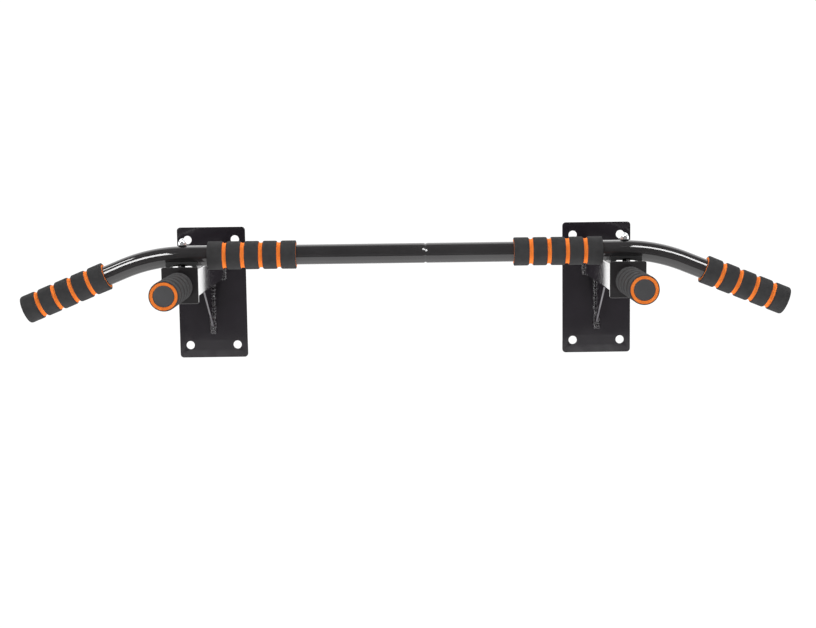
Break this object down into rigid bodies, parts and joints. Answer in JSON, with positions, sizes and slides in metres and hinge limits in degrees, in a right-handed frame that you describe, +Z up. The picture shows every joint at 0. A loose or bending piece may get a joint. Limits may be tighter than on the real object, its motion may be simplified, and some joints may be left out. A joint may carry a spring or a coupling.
{
  "type": "pull up bar",
  "caption": "Wall-mounted pull up bar with drop-end cross bar, foam grips, two forward handles and gusseted square-tube brackets on drilled wall plates.",
  "frame": {"origin": "on the wall plane, midway between the two wall plates, at the height of their centres", "axes": "+Y into the wall, +Z up, +X along the bar to the user's right"},
  "size_m": [1.0669, 0.479, 0.2096],
  "materials": {
    "black_paint": "glossy black powder coat",
    "charcoal_foam": "matt charcoal closed-cell foam",
    "orange_foam": "matt orange closed-cell foam",
    "black_plastic": "satin moulded black plastic",
    "black_steel": "black oxide steel",
    "bright_zinc": "bright zinc plate",
    "bare_steel": "drawn steel tube"
  },
  "bodies": {
    "root": {"left_wall_plate": "black_paint", "left_arm_tube": "black_paint", "left_end_plate": "black_paint", "left_gusset": "black_paint", "left_plate_weld": "black_paint", "left_gusset_welds": "black_paint", "left_front_weld": "black_paint", "left_handle_tube": "black_paint", "left_handle_weld": "black_paint", "left_handle_collar": "black_paint", "left_handle_grip_core": "orange_foam", "left_handle_grip_skin": "charcoal_foam", "left_handle_plug": "black_plastic", "left_saddle": "black_plastic", "left_clamp_bolt": "black_steel", "left_clamp_washers": "black_steel", "left_cap_nut": "bright_zinc", "left_bar": "black_paint", "left_bar_grip_core": "orange_foam", "left_bar_grip_skin": "charcoal_foam", "left_end_grip_core": "orange_foam", "left_end_grip_skin": "charcoal_foam", "left_bar_end_plug": "black_plastic", "right_wall_plate": "black_paint", "right_arm_tube": "black_paint", "right_end_plate": "black_paint", "right_gusset": "black_paint", "right_plate_weld": "black_paint", "right_gusset_welds": "black_paint", "right_front_weld": "black_paint", "right_handle_tube": "black_paint", "right_handle_weld": "black_paint", "right_handle_collar": "black_paint", "right_handle_grip_core": "orange_foam", "right_handle_grip_skin": "charcoal_foam", "right_handle_plug": "black_plastic", "right_saddle": "black_plastic", "right_clamp_bolt": "black_steel", "right_clamp_washers": "black_steel", "right_cap_nut": "bright_zinc", "right_bar": "black_paint", "right_bar_grip_core": "orange_foam", "right_bar_grip_skin": "charcoal_foam", "right_end_grip_core": "orange_foam", "right_end_grip_skin": "charcoal_foam", "right_bar_end_plug": "black_plastic", "joint_spigot": "bare_steel"}
  },
  "joints": []
}
